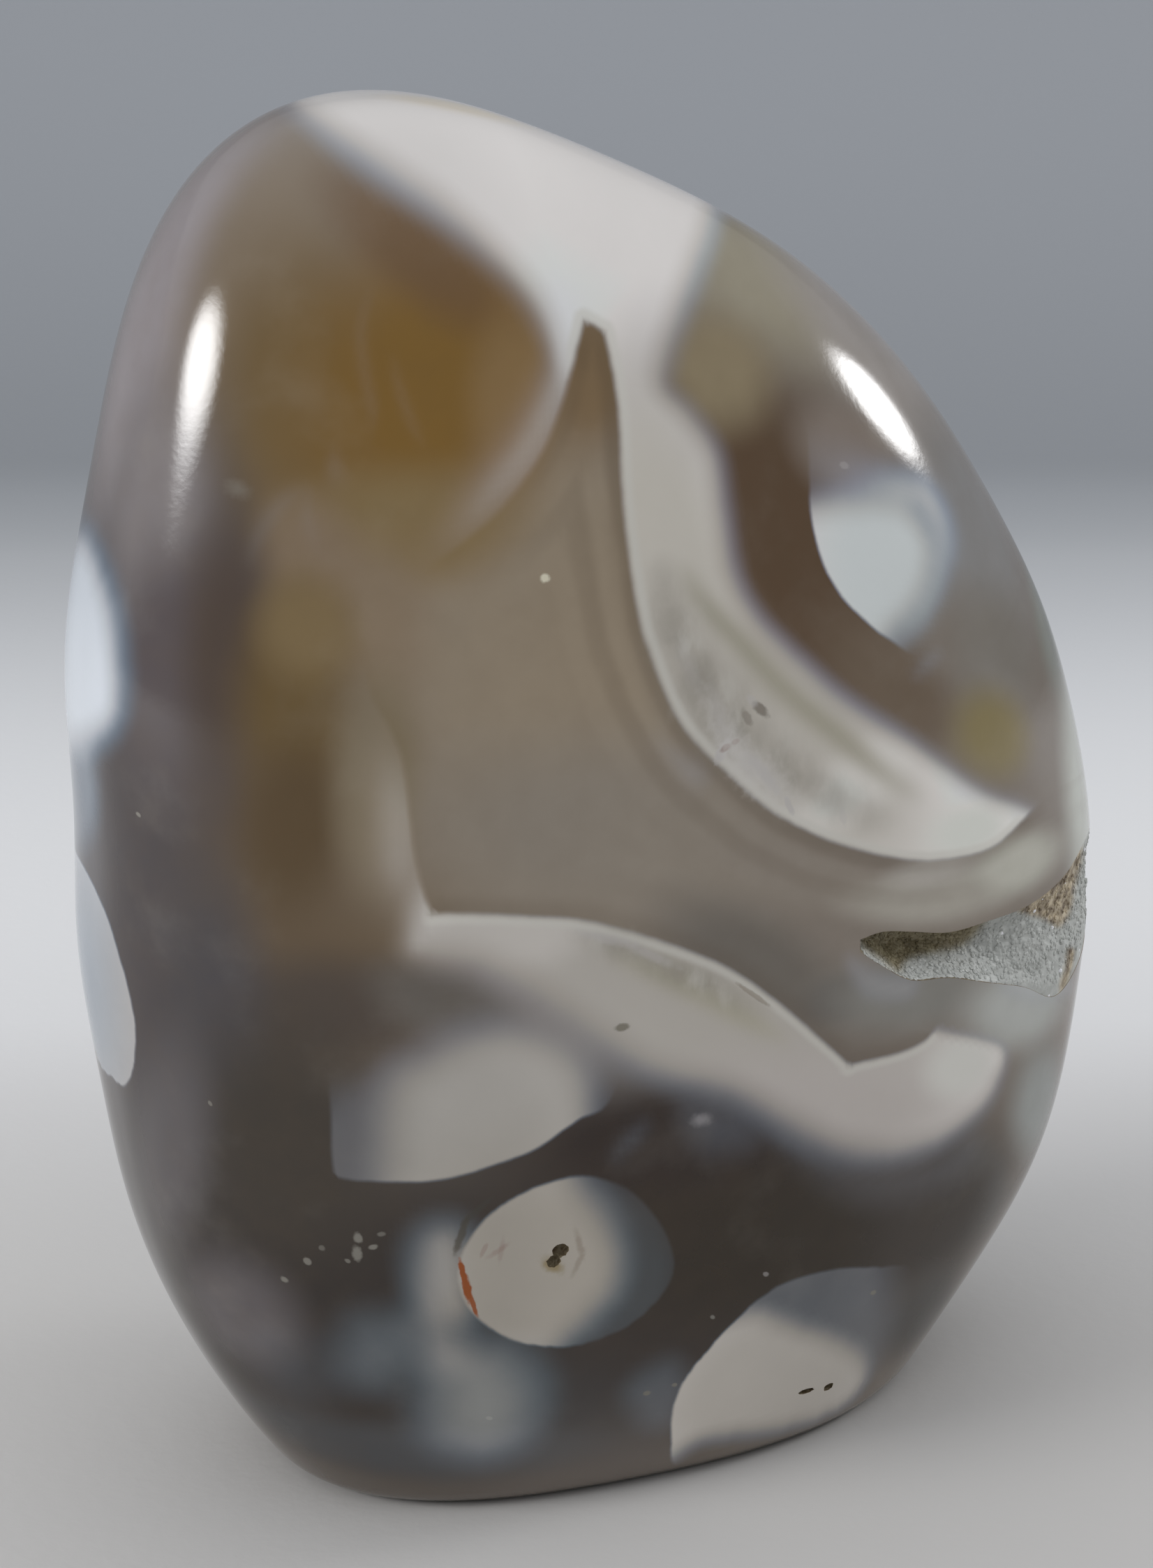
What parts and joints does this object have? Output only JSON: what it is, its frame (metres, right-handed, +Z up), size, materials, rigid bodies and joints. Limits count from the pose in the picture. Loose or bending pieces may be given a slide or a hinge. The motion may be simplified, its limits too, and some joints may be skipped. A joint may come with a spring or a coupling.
{
  "type": "orca agate standing stone",
  "caption": "Polished standing stone of banded orca agate, rounded and flat-sided, with a sawn flat base and a druzy quartz hollow in its right edge.",
  "frame": {"origin": "under the middle of the stone, on the plane of its flat base", "axes": "+Z up along the stone's height, -Y out of the front face that the picture shows, +X towards the edge with the hollow"},
  "size_m": [0.0844, 0.0436, 0.108],
  "materials": {
    "polished_agate": "polished, slightly translucent, white and brown markings",
    "druzy_quartz": "fine sparkling crystals"
  },
  "bodies": {
    "root": {"agate_stone": "polished_agate", "druzy_crust": "druzy_quartz"}
  },
  "joints": []
}
